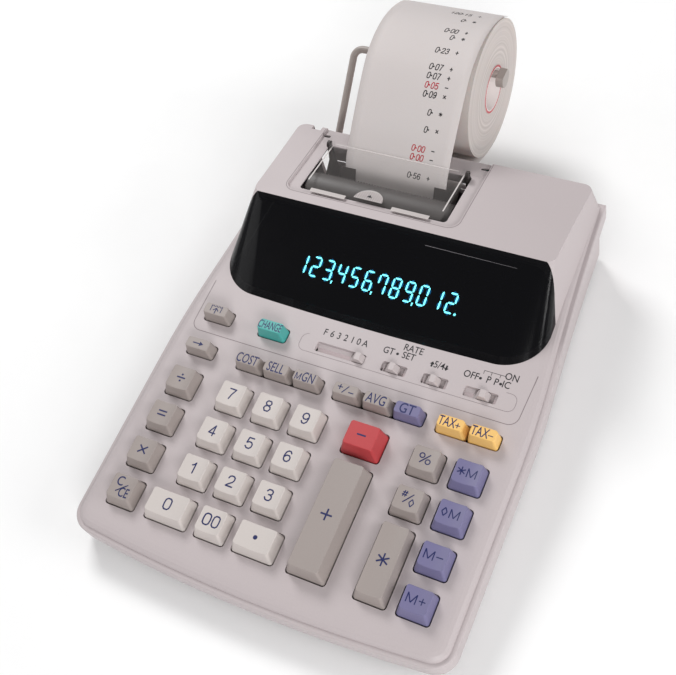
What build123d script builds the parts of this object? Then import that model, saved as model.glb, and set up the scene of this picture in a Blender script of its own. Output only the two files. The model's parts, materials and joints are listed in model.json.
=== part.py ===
from build123d import *
import os
from math import cos, radians, sin, tan

os.makedirs("parts", exist_ok=True)

# Desktop printing calculator: sloping keyboard deck, display housing behind it, drum printer
# in the housing and a paper roll carried on an arm behind the case.
# Millimetres, +Z up, +Y to the back. The origin is the centre of the whole footprint, on the table.
# Most parts are drawn in the deck's own axes: x to the right of the centre line, y back from the
# front edge along the keyboard deck, z square to the deck.

# ---------------------------------------------------------------- driving dimensions
DECK_TILT = 6.5
DECK_FRONT_HEIGHT = 20.0
FRONT_Y = -165.11
FOOT_HEIGHT = 3.0

CASE_HALF_WIDTH = 96.2
CASE_DEPTH = 245.9
FRONT_BOW_RADIUS = 872.0
TAPER_START = 100.0
WAIST_RADIUS, WAIST_ANGLE = 500.0, 5.73
FLANK_RADIUS, FLANK_ANGLE = 1580.0, 3.2
FRONT_CORNER, REAR_CORNER = 11.0, 6.0
WALL = 2.2
LIP_DROP, LIP_WIDTH = 3.0, 2.3
ROLL_OFF = [(2.6, 2.3), (1.5, 3.0), (0.6, 4.4), (0.15, 6.2), (0.0, 8.2)]
PARTING_DROP = 14.0
LOWER_INSET = 2.6
FLOOR = 2.0

LENS_FRONT = 142.8
LENS_SLOPE = 0.507
LENS_CREST = (184.8, 21.3)
TOP_FRONT = (190.1, 23.2)
TOP_REAR = (CASE_DEPTH, 10.2)
LENS_SIDE_FOOT = 172.2
LENS_WALL = 2.0
HOUSING_HALF_WIDTH = 87.2
HOUSING_SIDE_SLOPE = 0.29
HOUSING_TAPER = 2.4

KEY_PITCH = 20.0
KEY_GAP = 0.6
KEY_SKIRT = 2.5
KEY_FLANGE = 1.2
BOARD_TOP = -10.6
BOARD_THICKNESS = 1.6
MAT_THICKNESS = 1.2

PRINTER_X = -18.0
PAPER_WIDTH = 57.0
PAPER_THICKNESS = 0.25
ROLL_CENTRE = (295.7, 6.3)
ROLL_RADIUS = 36.7
CORE_OUTER, CORE_INNER = 12.7, 11.3
ARM_X = -70.4
ARM_RADIUS = 2.0
ARM_PIVOT = (235.2, -34.1)
ARM_SPINDLE = (298.8, 14.8)
ARM_HEAD_X = 13.0

DRUM_AXIS, DRUM_RADIUS = (210.7, -3.0), 8.0
FEED_AXIS, FEED_RADIUS = (224.2, -12.0), 5.0
INK_AXIS, INK_RADIUS = (200.0, -9.0), 4.0
PINION_AXIS = (208.2, -17.18)
GEAR_MODULE = 0.9
DRUM_TEETH, FEED_TEETH, PINION_TEETH = 22, 14, 10
PLATE_GAP, PLATE_THICKNESS = 37.9, 1.5
GEAR_X, GEAR_WIDTH = 22.0, 3.0
MOTOR_PLATE_X, MOTOR_RADIUS, MOTOR_LENGTH = 26.0, 9.0, 20.0
SHAFT_RADIUS = 1.5
RUNNING_FIT = 0.06
SHROUD_AXIS, SHROUD_RADIUS = (208.2, 2.0), 15.0
HINGE = (232.9, 15.2)

# ---------------------------------------------------------------- reference planes
TILT = radians(DECK_TILT)
DECK = Plane(
    origin=(0, FRONT_Y, DECK_FRONT_HEIGHT), x_dir=(1, 0, 0), z_dir=(0, -sin(TILT), cos(TILT))
)
SIDE = Plane(origin=DECK.origin, x_dir=DECK.y_dir, z_dir=(1, 0, 0))
CROSS = Plane(origin=DECK.origin, x_dir=(1, 0, 0), z_dir=-DECK.y_dir)
DECK_NORMAL = Axis(DECK.origin, DECK.z_dir)
TOP_FALL = (TOP_FRONT[1] - TOP_REAR[1]) / (TOP_REAR[0] - TOP_FRONT[0])
TOP = Plane(
    origin=DECK.from_local_coords((PRINTER_X, TOP_REAR[0], TOP_REAR[1])),
    x_dir=(1, 0, 0),
    z_dir=DECK.z_dir + DECK.y_dir * TOP_FALL,
)
BASE = Plane.XY.offset(FOOT_HEIGHT)


def side_at(x):
    """Plane square to X at the given x, drawn in deck y and z."""
    return SIDE.offset(x)


# ---------------------------------------------------------------- outlines
def case_outline(inset=0.0):
    """Plan of the case at the given inset: bowed front, waisted sides and straight back."""
    half = CASE_HALF_WIDTH - inset
    bow = FRONT_BOW_RADIUS - inset
    rear = CASE_DEPTH - inset
    with BuildLine() as outline:
        front = ThreePointArc(
            (0, inset), (half / 2, inset + half**2 / (8 * bow)), (half, inset + half**2 / (2 * bow))
        )
        side = Line(front @ 1, (half, TAPER_START))
        waist = JernArc(side @ 1, (0, 1), WAIST_RADIUS - inset, WAIST_ANGLE)
        flank = JernArc(waist @ 1, waist % 1, FLANK_RADIUS + inset, -FLANK_ANGLE)
        end = flank @ 1
        lean = tan(radians(WAIST_ANGLE - FLANK_ANGLE))
        back_corner = (end.X - lean * (rear - end.Y), rear)
        Line(end, back_corner)
        Line(back_corner, (0, rear))
        mirror(about=Plane.YZ)
    make_face(outline.edges())
    corners = vertices().filter_by(lambda v: abs(v.X) > CASE_HALF_WIDTH / 2)
    fillet(corners.filter_by(lambda v: v.Y < TAPER_START / 2), FRONT_CORNER - inset)
    fillet(corners.filter_by(lambda v: v.Y > rear - 1), max(REAR_CORNER - inset, 1.5))


def housing_section(height, inset):
    """Plan of the display housing at a height above the deck."""
    half = HOUSING_HALF_WIDTH - HOUSING_SIDE_SLOPE * (height + LIP_DROP) - inset
    front = LENS_FRONT + height / LENS_SLOPE + 2.2 * inset
    bow = 2.0 - 0.07 * height
    corner = 22.0 - 0.65 * height
    with BuildLine() as outline:
        edge = ThreePointArc((-half, front + bow), (0, front), (half, front + bow))
        Polyline(
            edge @ 1,
            (half - HOUSING_TAPER, CASE_DEPTH - inset),
            (-half + HOUSING_TAPER, CASE_DEPTH - inset),
            edge @ 0,
        )
    make_face(outline.edges())
    fillet(vertices().filter_by(lambda v: v.Y < CASE_DEPTH / 2 + front / 2), corner - inset)
    fillet(vertices().filter_by(lambda v: v.Y > CASE_DEPTH - inset - 1), 5.0 - inset / 2)


def housing(inset):
    """Solid of the display and printer housing, drawn in by the inset on every outer face."""
    low, high = -6.0, 26.0
    with BuildPart() as body:
        with BuildSketch(DECK.offset(low)):
            housing_section(low, inset)
        with BuildSketch(DECK.offset(high)):
            housing_section(high, inset)
        loft(ruled=True)
        with BuildSketch(side_at(0)):
            with BuildLine():
                Polyline(
                    (LENS_CREST[0], LENS_CREST[1] - inset),
                    (TOP_FRONT[0], TOP_FRONT[1] - inset),
                    (CASE_DEPTH + 10, TOP_REAR[1] - 10 * TOP_FALL - inset),
                    (CASE_DEPTH + 10, 60),
                    (LENS_CREST[0] - 60 + LENS_CREST[1], 60),
                    close=True,
                )
            make_face()
        extrude(amount=CASE_HALF_WIDTH * 1.5, both=True, mode=Mode.SUBTRACT)
    return body.part


def lens_zone():
    """Block that holds everything of the housing in front of the lens's back edge."""
    lean = (TOP_FRONT[0] - LENS_SIDE_FOOT) / TOP_FRONT[1]
    with BuildPart() as zone:
        with BuildSketch(side_at(0)):
            with BuildLine():
                Polyline(
                    (LENS_FRONT - 20, 0),
                    (LENS_SIDE_FOOT, 0),
                    (LENS_SIDE_FOOT + 40 * lean, 40),
                    (LENS_FRONT - 20, 40),
                    close=True,
                )
            make_face()
        extrude(amount=CASE_HALF_WIDTH * 1.2, both=True)
    return zone.part


# ---------------------------------------------------------------- keyboard layout
# Openings of the keys in deck axes: left, right, front, back.
FIRST_COLUMN = -54.2
FIRST_ROW = 19.2
HOLE_WIDTH, HOLE_DEPTH = 16.5, 15.5
SIDE_HOLE_DEPTH = 14.6
COLUMN = [FIRST_COLUMN + KEY_PITCH * i for i in range(3)]
ROW = [FIRST_ROW + KEY_PITCH * i for i in range(4)]
LEFT_COLUMN = (-82.6, -66.4)
ADD_COLUMN = (13.6, 33.7)
PERCENT_COLUMN = (46.2, 62.4)
MEMORY_COLUMN = (66.3, 82.4)
FUNCTION_ROW = (102.7, 110.9)
UPPER_ROW = (122.8, 131.0)

# Cap forms: height, side inset, front inset, back inset, depth of the dished top.
DISHED = (6.4, 1.45, 2.3, 0.5, 0.8)
SMALL = (7.0, 1.2, 0.8, 0.5, 0.0)
MINUS = (9.0, 2.2, 1.8, 0.8, 0.0)
PLUS = (8.6, 2.2, 1.9, 0.8, 0.3)

KEYS = {
    "key_0": (-61.2, -37.8, ROW[0], ROW[0] + HOLE_DEPTH, DISHED),
    "key_double_zero": (COLUMN[1], COLUMN[1] + HOLE_WIDTH, ROW[0], ROW[0] + HOLE_DEPTH, DISHED),
    "key_point": (COLUMN[2], COLUMN[2] + 21.9, ROW[0], ROW[0] + HOLE_DEPTH, DISHED),
    "key_plus": (*ADD_COLUMN, ROW[0], 75.2, PLUS),
    "key_minus": (*ADD_COLUMN, ROW[3], ROW[3] + HOLE_DEPTH, MINUS),
    "key_total": (*PERCENT_COLUMN, ROW[0], 55.75, DISHED),
    "key_subtotal": (*PERCENT_COLUMN, ROW[2], ROW[2] + SIDE_HOLE_DEPTH, DISHED),
    "key_percent": (*PERCENT_COLUMN, ROW[3], ROW[3] + SIDE_HOLE_DEPTH, DISHED),
    "key_feed": (*LEFT_COLUMN, *UPPER_ROW, SMALL),
    "key_change": (-51.5, -35.3, *UPPER_ROW, SMALL),
    "key_backspace": (*LEFT_COLUMN, *FUNCTION_ROW, SMALL),
    "key_cost": (-53.9, -38.6, *FUNCTION_ROW, SMALL),
    "key_sell": (-38.6, -22.5, *FUNCTION_ROW, SMALL),
    "key_margin": (-22.5, -6.7, *FUNCTION_ROW, SMALL),
    "key_sign": (-1.3, 14.4, *FUNCTION_ROW, SMALL),
    "key_average": (14.4, 30.1, *FUNCTION_ROW, SMALL),
    "key_grand_total": (30.1, 45.8, *FUNCTION_ROW, SMALL),
    "key_tax_plus": (51.2, 66.8, *FUNCTION_ROW, SMALL),
    "key_tax_minus": (66.8, 82.4, *FUNCTION_ROW, SMALL),
}
for digit in range(1, 10):
    across, up = COLUMN[(digit - 1) % 3], ROW[1 + (digit - 1) // 3]
    KEYS[f"key_{digit}"] = (across, across + HOLE_WIDTH, up, up + HOLE_DEPTH, DISHED)
for up, name in zip(ROW, ("key_clear", "key_multiply", "key_equals", "key_divide")):
    KEYS[name] = (*LEFT_COLUMN, up, up + HOLE_DEPTH, DISHED)
for up, name in zip(ROW, ("plus", "minus", "subtotal", "total")):
    KEYS[f"key_memory_{name}"] = (*MEMORY_COLUMN, up, up + SIDE_HOLE_DEPTH, DISHED)

SHARED_OPENINGS = [
    (-53.9, -6.7, *FUNCTION_ROW),
    (-1.3, 45.8, *FUNCTION_ROW),
    (51.2, 82.4, *FUNCTION_ROW),
]
OPENINGS = SHARED_OPENINGS + [
    (left, right, front, back)
    for left, right, front, back, form in KEYS.values()
    if not any(g[0] <= left and right <= g[1] and g[2:] == (front, back) for g in SHARED_OPENINGS)
]

# Slide switches: left and right end of the slot, and the knob's place at rest.
SWITCH_Y = 126.9
SWITCH_SLOT_DEPTH = 5.3
SWITCHES = {
    "decimal_knob": (-19.7, 6.5, 3.1),
    "rate_knob": (15.3, 27.9, 21.0),
    "rounding_knob": (36.1, 48.7, 41.8),
    "power_knob": (57.1, 73.2, 66.4),
}


def bar(left, right, front, back, corner=1.8):
    """Rounded rectangle from its four sides, in the current sketch."""
    with Locations(((left + right) / 2, (front + back) / 2)):
        RectangleRounded(right - left, back - front, corner)


# ---------------------------------------------------------------- upper case
SCREWS = [(-86.5, 14.0), (86.5, 14.0), (-80.0, 214.0), (78.0, 214.0)]
BOSS_RADIUS = 3.6
SCREW_RADIUS = 1.5

RECESS_HALF_WIDTH, RECESS_FRONT, RECESS_DEPTH = 46.8, -50.6, 1.4
WINDOW_HALF_WIDTH, WINDOW_FRONT, WINDOW_BACK = 40.2, -46.9, -11.0
TABS = [(-33.1, -13.6), (11.7, 31.7)]
TAB_REACH = 2.2
ARM_SLOT_WIDTH = 5.2
PAPER_INLET_Z, PAPER_INLET_HEIGHT = -11.0, 4.5


def case_block():
    """Outer solid of the upper case, before it is hollowed."""
    with BuildPart() as block:
        with BuildSketch(DECK.offset(-LIP_DROP)):
            case_outline()
        extrude(amount=-(PARTING_DROP - LIP_DROP))
        fillet(edges().group_by(DECK_NORMAL)[-1], 0.9)
        with BuildSketch(DECK.offset(-LIP_DROP - 1)):
            case_outline(LIP_WIDTH)
        extrude(amount=LIP_DROP + 1 - ROLL_OFF[0][0])
    with BuildPart() as crown:
        for drop, inset in ROLL_OFF:
            with BuildSketch(DECK.offset(-drop)):
                case_outline(inset)
        loft(ruled=True)
    with BuildPart() as whole:
        add(block.part)
        add(crown.part)
        add(housing(0.0))
    return whole.part


def screw_posts(limit):
    """Hollow posts for the case screws, trimmed to the given solid."""
    with BuildPart() as posts:
        with BuildSketch(BASE):
            with Locations(*[(x, FRONT_Y + y) for x, y in SCREWS]):
                Circle(BOSS_RADIUS)
                Circle(SCREW_RADIUS, mode=Mode.SUBTRACT)
        extrude(amount=60)
        add(limit, mode=Mode.INTERSECT)
    return posts.part


with BuildPart() as upper_case:
    add(case_block())
    with BuildSketch(DECK.offset(-PARTING_DROP)):
        case_outline(WALL)
    extrude(amount=PARTING_DROP - LIP_DROP - WALL, mode=Mode.SUBTRACT)
    with BuildSketch(DECK.offset(-LIP_DROP - WALL - 0.5)):
        case_outline(ROLL_OFF[-1][1])
    extrude(amount=LIP_DROP + 0.5, mode=Mode.SUBTRACT)
    with BuildSketch(DECK.offset(-WALL - 3)):
        bar(-72, 72, LENS_SIDE_FOOT + 1, CASE_DEPTH - 6, 4)
    extrude(amount=6, mode=Mode.SUBTRACT)
    add(housing(WALL), mode=Mode.SUBTRACT)
    add(lens_zone(), mode=Mode.SUBTRACT)
    with BuildSketch(DECK.offset(2)):
        for opening in OPENINGS:
            bar(*opening)
        for left, right, _ in SWITCHES.values():
            bar(left, right, SWITCH_Y - SWITCH_SLOT_DEPTH / 2, SWITCH_Y + SWITCH_SLOT_DEPTH / 2, 0.9)
        bar(-72, 72, LENS_FRONT + 7, LENS_SIDE_FOOT + 6, 4)
    extrude(amount=-8, mode=Mode.SUBTRACT)
    with BuildSketch(TOP):
        bar(-RECESS_HALF_WIDTH, RECESS_HALF_WIDTH, RECESS_FRONT, 12, 6)
    extrude(amount=-RECESS_DEPTH, mode=Mode.SUBTRACT, taper=20)
    with BuildSketch(TOP.offset(4)):
        bar(-WINDOW_HALF_WIDTH, WINDOW_HALF_WIDTH, WINDOW_FRONT, WINDOW_BACK, 2)
        with Locations((-45.2, -4.6), (44.0, -3.6)):
            SlotOverall(4.6, 2.0)
    extrude(amount=-10, mode=Mode.SUBTRACT)
    with BuildSketch(side_at(ARM_X)):
        with Locations((TOP_REAR[0] + 3, 0)):
            Rectangle(11.4, 80)
    extrude(amount=ARM_SLOT_WIDTH / 2, both=True, mode=Mode.SUBTRACT)
    with BuildSketch(side_at(PRINTER_X)):
        with Locations((TOP_REAR[0], PAPER_INLET_Z)):
            Rectangle(20, PAPER_INLET_HEIGHT)
    extrude(amount=PAPER_WIDTH / 2 + 3, both=True, mode=Mode.SUBTRACT)
    add(screw_posts(case_block()))
upper_case.part.label = "upper_case"
export_step(upper_case.part, "parts/upper_case.step")


# ---------------------------------------------------------------- lower case
FEET = [(-76, 22), (76, 22), (-70, 222), (70, 222)]
FOOT_RADIUS = 7.0
CORD_X, CORD_Z, CORD_RADIUS, GLAND_RADIUS = 58.0, -22.0, 3.2, 5.8
LUG_GAP, LUG_THICKNESS = 4.5, 3.0


def lower_block(inset, floor):
    """Solid under the parting line, from the given floor height upward."""
    with BuildPart() as block:
        with BuildSketch(DECK.offset(-PARTING_DROP)):
            case_outline(inset)
        extrude(amount=-60)
        split(bisect_by=Plane.XY.offset(floor), keep=Keep.TOP)
    return block.part


with BuildPart() as lugs:
    with BuildSketch(side_at(ARM_X)):
        with Locations(ARM_PIVOT):
            Rectangle(9, 30)
    extrude(amount=LUG_GAP + LUG_THICKNESS, both=True)
    with BuildSketch(side_at(ARM_X)):
        with Locations(ARM_PIVOT):
            Rectangle(12, 40)
    extrude(amount=LUG_GAP, both=True, mode=Mode.SUBTRACT)
    with BuildSketch(side_at(ARM_X)):
        with Locations(ARM_PIVOT):
            Circle(ARM_RADIUS + RUNNING_FIT)
        with Locations((ARM_PIVOT[0], ARM_PIVOT[1] + 14)):
            Rectangle(12, 20)
    extrude(amount=LUG_GAP + LUG_THICKNESS + 1, both=True, mode=Mode.SUBTRACT)
    split(bisect_by=Plane.XY.offset(FOOT_HEIGHT + FLOOR), keep=Keep.TOP)

with BuildPart() as lower_case:
    add(lower_block(LOWER_INSET, FOOT_HEIGHT))
    add(lower_block(LOWER_INSET + WALL, FOOT_HEIGHT + FLOOR), mode=Mode.SUBTRACT)
    with BuildSketch(CROSS.offset(-(CASE_DEPTH - LOWER_INSET))):
        with Locations((CORD_X, CORD_Z)):
            Circle(GLAND_RADIUS)
    extrude(amount=6)
    with BuildSketch(CROSS.offset(-(CASE_DEPTH - LOWER_INSET))):
        with Locations((CORD_X, CORD_Z)):
            Circle(CORD_RADIUS)
    extrude(amount=6, mode=Mode.SUBTRACT)
    with BuildSketch(side_at(ARM_X)):
        with Locations((CASE_DEPTH, 0)):
            Rectangle(11.4, 70)
    extrude(amount=ARM_SLOT_WIDTH / 2, both=True, mode=Mode.SUBTRACT)
    add(screw_posts(lower_block(LOWER_INSET, FOOT_HEIGHT)))
    add(lugs.part)
    with Locations(*[(x, FRONT_Y + y, FOOT_HEIGHT) for x, y in SCREWS]):
        Cylinder(2.9, 1.6, align=(Align.CENTER, Align.CENTER, Align.MIN), mode=Mode.SUBTRACT)
        Cylinder(SCREW_RADIUS, 5, align=(Align.CENTER, Align.CENTER, Align.MIN), mode=Mode.SUBTRACT)
lower_case.part.label = "lower_case"
export_step(lower_case.part, "parts/lower_case.step")

with BuildPart() as rubber_feet:
    with BuildSketch(Plane.XY):
        with Locations(*[(x, FRONT_Y + y) for x, y in FEET]):
            Circle(FOOT_RADIUS)
    extrude(amount=FOOT_HEIGHT)
    chamfer(edges().group_by(Axis.Z)[0], 0.8)
rubber_feet.part.label = "rubber_feet"
export_step(rubber_feet.part, "parts/rubber_feet.step")

with BuildPart() as case_screws:
    with Locations(*[(x, FRONT_Y + y, FOOT_HEIGHT) for x, y in SCREWS]):
        Cylinder(2.8, 1.5, align=(Align.CENTER, Align.CENTER, Align.MIN))
        Cylinder(SCREW_RADIUS, 10, align=(Align.CENTER, Align.CENTER, Align.MIN))
case_screws.part.label = "case_screws"
export_step(case_screws.part, "parts/case_screws.step")

# ---------------------------------------------------------------- display
with BuildPart() as display_window:
    add(housing(0.0))
    add(housing(LENS_WALL), mode=Mode.SUBTRACT)
    add(lens_zone(), mode=Mode.INTERSECT)
display_window.part.label = "display_window"
export_step(display_window.part, "parts/display_window.step")

TUBE_CENTRE, TUBE_TILT = (166.4, 2.5), 26.9
TUBE = DECK * Pos(0, *TUBE_CENTRE) * Rot(TUBE_TILT, 0, 0)
with BuildPart() as display_tube:
    with BuildSketch(TUBE):
        RectangleRounded(132, 15, 2)
    extrude(amount=2.6, both=True)
    with BuildSketch(DECK.offset(BOARD_TOP)):
        with Locations(*[(x, 163) for x in range(-60, 61, 12)]):
            Rectangle(1.0, 4.0)
    extrude(amount=10.0)
display_tube.part.label = "display_tube"
export_step(display_tube.part, "parts/display_tube.step")

# ---------------------------------------------------------------- circuit board and key mat
with BuildPart() as circuit_board:
    with BuildSketch(DECK.offset(BOARD_TOP)):
        bar(-84.5, 84.5, 18.4, 168, 2)
    extrude(amount=-BOARD_THICKNESS)
    with BuildSketch(DECK.offset(BOARD_TOP)):
        for left, right, _ in SWITCHES.values():
            bar(left - 2, right + 2, SWITCH_Y - 3.6, SWITCH_Y + 3.6, 0.6)
        with Locations((-60, 148)):
            Rectangle(34, 12)
        with Locations((10, 147), (40, 147)):
            Rectangle(18, 8)
    extrude(amount=4.2)
circuit_board.part.label = "circuit_board"
export_step(circuit_board.part, "parts/circuit_board.step")

with BuildPart() as key_mat:
    with BuildSketch(DECK.offset(BOARD_TOP)):
        bar(-84, 84, 18.8, 117.5, 2)
        bar(-84, -30, 110, 134, 2)
    extrude(amount=MAT_THICKNESS)
    with BuildSketch(DECK.offset(BOARD_TOP + MAT_THICKNESS)):
        with Locations(*[((k[0] + k[1]) / 2, (k[2] + k[3]) / 2) for k in KEYS.values()]):
            Circle(3.4)
    extrude(amount=1.3, taper=12)
key_mat.part.label = "key_mat"
export_step(key_mat.part, "parts/key_mat.step")


# ---------------------------------------------------------------- keys
def key(left, right, front, back, form):
    """Key cap with its guide flange and plunger."""
    height, side, toe, heel, dish = form
    gap = KEY_GAP
    middle = ((left + right) / 2, (front + back) / 2)
    with BuildPart() as cap:
        with BuildSketch(DECK):
            bar(left + gap, right - gap, front + gap, back - gap, 1.3)
        with BuildSketch(DECK.offset(height)):
            bar(left + gap + side, right - gap - side, front + gap + toe, back - gap - heel, 1.3)
        loft()
        if dish:
            half = (right - left) / 2 - gap - side
            bowl = (half**2 + dish**2) / (2 * dish)
            with BuildSketch(CROSS.offset(-front + 2)):
                with Locations((middle[0], height - dish + bowl)):
                    Circle(bowl)
            extrude(amount=-(back - front + 4), mode=Mode.SUBTRACT)
        rim = edges().filter_by(lambda e: DECK.to_local_coords(e.center()).Z > height - dish - 0.3)
        fillet(rim, 0.35)
        with BuildSketch(DECK):
            bar(left + gap, right - gap, front + gap, back - gap, 1.3)
        extrude(amount=-KEY_SKIRT)
        with BuildSketch(DECK.offset(-KEY_SKIRT)):
            bar(left + gap, right - gap, front - 1, back + 1, 0.8)
        extrude(amount=-KEY_FLANGE)
        with BuildSketch(DECK.offset(-KEY_SKIRT - KEY_FLANGE)):
            with Locations(middle):
                Circle(2.2)
        extrude(amount=-1.7)
    return cap.part


for name, (left, right, front, back, form) in KEYS.items():
    cap = key(left, right, front, back, form)
    cap.label = name
    export_step(cap, f"parts/{name}.step")

# ---------------------------------------------------------------- slide knobs
for name, (left, right, rest) in SWITCHES.items():
    with BuildPart() as knob:
        with BuildSketch(DECK.offset(-0.4)):
            with Locations((rest, SWITCH_Y)):
                RectangleRounded(6.4, 4.3, 0.5)
        with BuildSketch(DECK.offset(2.7)):
            with Locations((rest, SWITCH_Y)):
                RectangleRounded(2.6, 3.9, 0.5)
        loft()
        with BuildSketch(DECK.offset(-0.4)):
            with Locations((rest, SWITCH_Y)):
                RectangleRounded(6.4, 4.3, 0.5)
        extrude(amount=-2.1)
        with BuildSketch(DECK.offset(-2.5)):
            with Locations((rest, SWITCH_Y)):
                RectangleRounded(9.6, 7.6, 0.8)
        extrude(amount=-1.0)
        with BuildSketch(DECK.offset(-3.5)):
            with Locations((rest, SWITCH_Y)):
                Rectangle(4, 2)
        extrude(amount=-2.6)
    knob.part.label = name
    export_step(knob.part, f"parts/{name}.step")

# ---------------------------------------------------------------- printer
PLATE_LEFT = PRINTER_X - PLATE_GAP - PLATE_THICKNESS
PLATE_RIGHT = PRINTER_X + PLATE_GAP


def disc(axis, radius, x, length):
    """Disc across the machine in the current part, from x to x plus length."""
    with BuildSketch(side_at(x)) as face:
        with Locations(axis):
            Circle(radius)
    extrude(face.sketch, amount=length)


def gear(axis, teeth, x, length, phase):
    """Spur gear blank with straight-flanked teeth in the current part."""
    pitch = GEAR_MODULE * teeth / 2
    width = GEAR_MODULE * 1.5
    with BuildSketch(side_at(x)) as face:
        with Locations(axis):
            Circle(pitch - GEAR_MODULE * 1.1)
            with PolarLocations(pitch - GEAR_MODULE * 0.2, teeth, start_angle=phase):
                Trapezoid(width, GEAR_MODULE * 2.0, 78, rotation=-90)
    extrude(face.sketch, amount=length)


with BuildPart() as printer_frame:
    with BuildSketch(side_at(PLATE_LEFT)):
        with BuildLine():
            Polyline(
                (194.0, -46), (234.0, -46), (234.0, 14.6), (231.9, 14.6),
                (229.6, 6.0), (222.4, 2.0), (214.0, 14.0), (200.0, 10.0), (194.0, 2.0),
                close=True,
            )
        make_face()
        with Locations(HINGE):
            Circle(1.9)
    extrude(amount=PLATE_THICKNESS)
    with BuildSketch(side_at(PLATE_LEFT)):
        for axis in (DRUM_AXIS, FEED_AXIS, INK_AXIS):
            with Locations(axis):
                Circle(SHAFT_RADIUS + RUNNING_FIT)
        with Locations(HINGE):
            Circle(1.0 + RUNNING_FIT)
    extrude(amount=PLATE_THICKNESS, mode=Mode.SUBTRACT)
    mirror(about=Plane.YZ.offset(PRINTER_X))
    with BuildSketch(side_at(PLATE_LEFT)):
        with Locations((214, -26)):
            Rectangle(36, 1.5)
        with Locations(SHROUD_AXIS):
            Circle(SHROUD_RADIUS)
            Circle(SHROUD_RADIUS - 1.4, mode=Mode.SUBTRACT)
        with BuildLine():
            Polyline((208.2, 2), (190, -3), (190, -24.5), (236, -24.5), (236, 16.2), (213.4, 16.2),
                     close=True)
        make_face(mode=Mode.SUBTRACT)
    extrude(amount=2 * (PLATE_GAP + PLATE_THICKNESS))
    with BuildSketch(side_at(PLATE_RIGHT + PLATE_THICKNESS)):
        with Locations((197.5, -21.5), (219.0, -21.5)):
            Circle(2)
    extrude(amount=MOTOR_PLATE_X - PLATE_RIGHT - PLATE_THICKNESS)
    with BuildSketch(side_at(MOTOR_PLATE_X)):
        with Locations((PINION_AXIS[0], -19)):
            RectangleRounded(30, 22, 3)
        with Locations(PINION_AXIS):
            Circle(3.2, mode=Mode.SUBTRACT)
    extrude(amount=PLATE_THICKNESS)
    split(bisect_by=Plane.XY.offset(FOOT_HEIGHT + FLOOR), keep=Keep.TOP)
printer_frame.part.label = "printer_frame"
export_step(printer_frame.part, "parts/printer_frame.step")

with BuildPart() as type_drum:
    disc(DRUM_AXIS, DRUM_RADIUS, PRINTER_X - 27, 54)
    disc(DRUM_AXIS, SHAFT_RADIUS, PLATE_LEFT - 0.5, GEAR_X + GEAR_WIDTH - PLATE_LEFT + 0.5)
    gear(DRUM_AXIS, DRUM_TEETH, GEAR_X, GEAR_WIDTH, -100)
type_drum.part.label = "type_drum"
export_step(type_drum.part, "parts/type_drum.step")

with BuildPart() as feed_roller:
    disc(FEED_AXIS, FEED_RADIUS, PRINTER_X - 25, 50)
    disc(FEED_AXIS, SHAFT_RADIUS, PLATE_LEFT - 0.5, GEAR_X + GEAR_WIDTH - PLATE_LEFT + 0.5)
    gear(FEED_AXIS, FEED_TEETH, GEAR_X, GEAR_WIDTH, 146.3 + 180 / FEED_TEETH)
feed_roller.part.label = "feed_roller"
export_step(feed_roller.part, "parts/feed_roller.step")

with BuildPart() as ink_roller:
    disc(INK_AXIS, INK_RADIUS, PRINTER_X - 27, 54)
    disc(INK_AXIS, SHAFT_RADIUS, PLATE_LEFT - 0.5, 2 * (PLATE_GAP + PLATE_THICKNESS) + 1)
ink_roller.part.label = "ink_roller"
export_step(ink_roller.part, "parts/ink_roller.step")

with BuildPart() as motor_pinion:
    gear(PINION_AXIS, PINION_TEETH, GEAR_X, GEAR_WIDTH, 80 + 180 / PINION_TEETH)
    disc(PINION_AXIS, 1.0, GEAR_X, MOTOR_PLATE_X + PLATE_THICKNESS - GEAR_X + 5)
motor_pinion.part.label = "motor_pinion"
export_step(motor_pinion.part, "parts/motor_pinion.step")

with BuildPart() as printer_motor:
    disc(PINION_AXIS, MOTOR_RADIUS, MOTOR_PLATE_X + PLATE_THICKNESS, MOTOR_LENGTH)
    with BuildSketch(side_at(MOTOR_PLATE_X + PLATE_THICKNESS)):
        with Locations(PINION_AXIS):
            Circle(1.0 + RUNNING_FIT)
    extrude(amount=8, mode=Mode.SUBTRACT)
printer_motor.part.label = "printer_motor"
export_step(printer_motor.part, "parts/printer_motor.step")

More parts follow.
